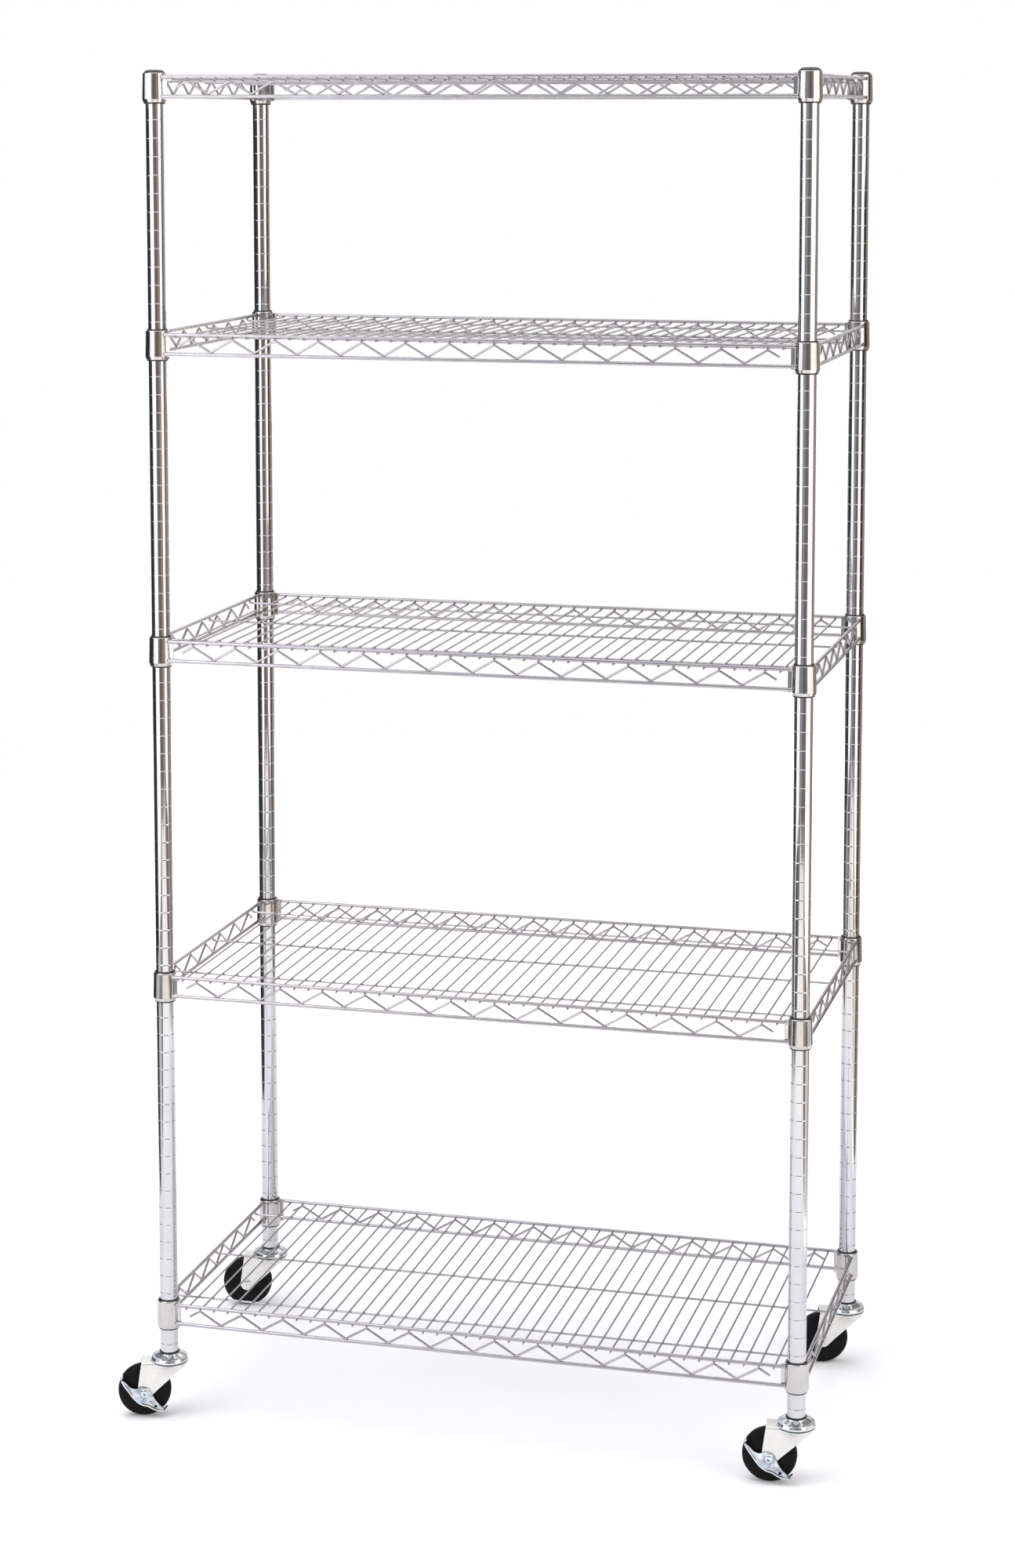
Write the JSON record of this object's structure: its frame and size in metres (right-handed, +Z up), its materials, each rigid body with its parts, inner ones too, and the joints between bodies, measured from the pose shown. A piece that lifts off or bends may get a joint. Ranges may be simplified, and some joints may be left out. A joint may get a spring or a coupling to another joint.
{
  "type": "wire shelving rack",
  "caption": "Tall open chrome wire shelving rack: grooved round posts, welded wire shelves on tapered split sleeves, and swivel casters, the front ones with rocker brakes.",
  "frame": {"origin": "on the floor, in the middle of the rectangle that the whole rack covers with its casters as they trail at rest", "axes": "+Z up the posts, +X along the shelves to the right as seen from the front, +Y from the front to the rear"},
  "size_m": [1.0142, 0.5134, 1.9282],
  "materials": {
    "chrome_tube": "bright chrome plate on round tube",
    "chrome_wire": "chrome plate on drawn and welded wire",
    "zinc_plate": "bright zinc plate on stamped steel",
    "zinc_bolt": "bright zinc plate, turned",
    "brake_steel": "bright nickel plate on stamped steel",
    "sleeve_plastic": "moulded, satin",
    "cap_plastic": "moulded, low gloss",
    "wheel_rubber": "solid rubber, satin",
    "bush_plastic": "moulded, satin"
  },
  "bodies": {
    "uprights": {"post_front_left": "chrome_tube", "post_cap_front_left": "cap_plastic", "caster_stem_front_left": "zinc_plate", "post_front_right": "chrome_tube", "post_cap_front_right": "cap_plastic", "caster_stem_front_right": "zinc_plate", "post_rear_left": "chrome_tube", "post_cap_rear_left": "cap_plastic", "caster_stem_rear_left": "zinc_plate", "post_rear_right": "chrome_tube", "post_cap_rear_right": "cap_plastic", "caster_stem_rear_right": "zinc_plate", "shelf_1_sleeve_front_left": "sleeve_plastic", "shelf_1_sleeve_front_right": "sleeve_plastic", "shelf_1_sleeve_rear_left": "sleeve_plastic", "shelf_1_sleeve_rear_right": "sleeve_plastic", "shelf_2_sleeve_front_left": "sleeve_plastic", "shelf_2_sleeve_front_right": "sleeve_plastic", "shelf_2_sleeve_rear_left": "sleeve_plastic", "shelf_2_sleeve_rear_right": "sleeve_plastic", "shelf_3_sleeve_front_left": "sleeve_plastic", "shelf_3_sleeve_front_right": "sleeve_plastic", "shelf_3_sleeve_rear_left": "sleeve_plastic", "shelf_3_sleeve_rear_right": "sleeve_plastic", "shelf_4_sleeve_front_left": "sleeve_plastic", "shelf_4_sleeve_front_right": "sleeve_plastic", "shelf_4_sleeve_rear_left": "sleeve_plastic", "shelf_4_sleeve_rear_right": "sleeve_plastic", "shelf_5_sleeve_front_left": "sleeve_plastic", "shelf_5_sleeve_front_right": "sleeve_plastic", "shelf_5_sleeve_rear_left": "sleeve_plastic", "shelf_5_sleeve_rear_right": "sleeve_plastic"},
    "shelf_1": {"shelf_1_frame": "chrome_wire", "shelf_1_wire_mat": "chrome_wire"},
    "shelf_2": {"shelf_2_frame": "chrome_wire", "shelf_2_wire_mat": "chrome_wire"},
    "shelf_3": {"shelf_3_frame": "chrome_wire", "shelf_3_wire_mat": "chrome_wire"},
    "shelf_4": {"shelf_4_frame": "chrome_wire", "shelf_4_wire_mat": "chrome_wire"},
    "shelf_5": {"shelf_5_frame": "chrome_wire", "shelf_5_wire_mat": "chrome_wire"},
    "swivel_front_left": {"caster_fork_front_left": "zinc_plate", "caster_axle_front_left": "zinc_bolt", "wheel_bush_front_left": "bush_plastic"},
    "wheel_front_left": {"wheel_front_left": "wheel_rubber"},
    "brake_front_left": {"brake_lever_front_left": "brake_steel"},
    "swivel_front_right": {"caster_fork_front_right": "zinc_plate", "caster_axle_front_right": "zinc_bolt", "wheel_bush_front_right": "bush_plastic"},
    "wheel_front_right": {"wheel_front_right": "wheel_rubber"},
    "brake_front_right": {"brake_lever_front_right": "brake_steel"},
    "swivel_rear_left": {"caster_fork_rear_left": "zinc_plate", "caster_axle_rear_left": "zinc_bolt", "wheel_bush_rear_left": "bush_plastic"},
    "wheel_rear_left": {"wheel_rear_left": "wheel_rubber"},
    "swivel_rear_right": {"caster_fork_rear_right": "zinc_plate", "caster_axle_rear_right": "zinc_bolt", "wheel_bush_rear_right": "bush_plastic"},
    "wheel_rear_right": {"wheel_rear_right": "wheel_rubber"}
  },
  "joints": [
    {"name": "shelf_1_lift", "type": "slide", "parent": "uprights", "child": "shelf_1", "axis": [0, 0, 1], "range_m": [0, 0.4318]},
    {"name": "shelf_2_lift", "type": "slide", "parent": "uprights", "child": "shelf_2", "axis": [0, 0, 1], "range_m": [0, 0.4318]},
    {"name": "shelf_3_lift", "type": "slide", "parent": "uprights", "child": "shelf_3", "axis": [0, 0, 1], "range_m": [0, 0.381]},
    {"name": "shelf_4_lift", "type": "slide", "parent": "uprights", "child": "shelf_4", "axis": [0, 0, 1], "range_m": [0, 0.3048]},
    {"name": "shelf_5_lift", "type": "slide", "parent": "uprights", "child": "shelf_5", "axis": [0, 0, 1], "range_m": [0, 0.0762]},
    {"name": "swivel_front_left_turn", "type": "hinge", "parent": "uprights", "child": "swivel_front_left", "pos_m": [-0.43433, -0.21477, 0.0381], "axis": [0, 0, 1], "continuous": true},
    {"name": "wheel_front_left_spin", "type": "hinge", "parent": "swivel_front_left", "child": "wheel_front_left", "pos_m": [-0.46816, -0.22708, 0.0381], "axis": [-0.342, 0.9397, 0], "continuous": true},
    {"name": "brake_front_left_rock", "type": "hinge", "parent": "swivel_front_left", "child": "brake_front_left", "pos_m": [-0.46816, -0.22708, 0.0381], "axis": [0.342, -0.9397, 0], "range_deg": [0, 30]},
    {"name": "swivel_front_right_turn", "type": "hinge", "parent": "uprights", "child": "swivel_front_right", "pos_m": [0.48007, -0.21477, 0.0381], "axis": [0, 0, 1], "continuous": true},
    {"name": "wheel_front_right_spin", "type": "hinge", "parent": "swivel_front_right", "child": "wheel_front_right", "pos_m": [0.44427, -0.21853, 0.0381], "axis": [-0.1045, 0.9945, 0], "continuous": true},
    {"name": "brake_front_right_rock", "type": "hinge", "parent": "swivel_front_right", "child": "brake_front_right", "pos_m": [0.44427, -0.21853, 0.0381], "axis": [0.1045, -0.9945, 0], "range_deg": [0, 30]},
    {"name": "swivel_rear_left_turn", "type": "hinge", "parent": "uprights", "child": "swivel_rear_left", "pos_m": [-0.43433, 0.22973, 0.0381], "axis": [0, 0, 1], "continuous": true},
    {"name": "wheel_rear_left_spin", "type": "hinge", "parent": "swivel_rear_left", "child": "wheel_rear_left", "pos_m": [-0.4691, 0.22041, 0.0381], "axis": [-0.2588, 0.9659, 0], "continuous": true},
    {"name": "swivel_rear_right_turn", "type": "hinge", "parent": "uprights", "child": "swivel_rear_right", "pos_m": [0.48007, 0.22973, 0.0381], "axis": [0, 0, 1], "continuous": true},
    {"name": "wheel_rear_right_spin", "type": "hinge", "parent": "swivel_rear_right", "child": "wheel_rear_right", "pos_m": [0.4453, 0.22041, 0.0381], "axis": [-0.2588, 0.9659, 0], "continuous": true}
  ]
}
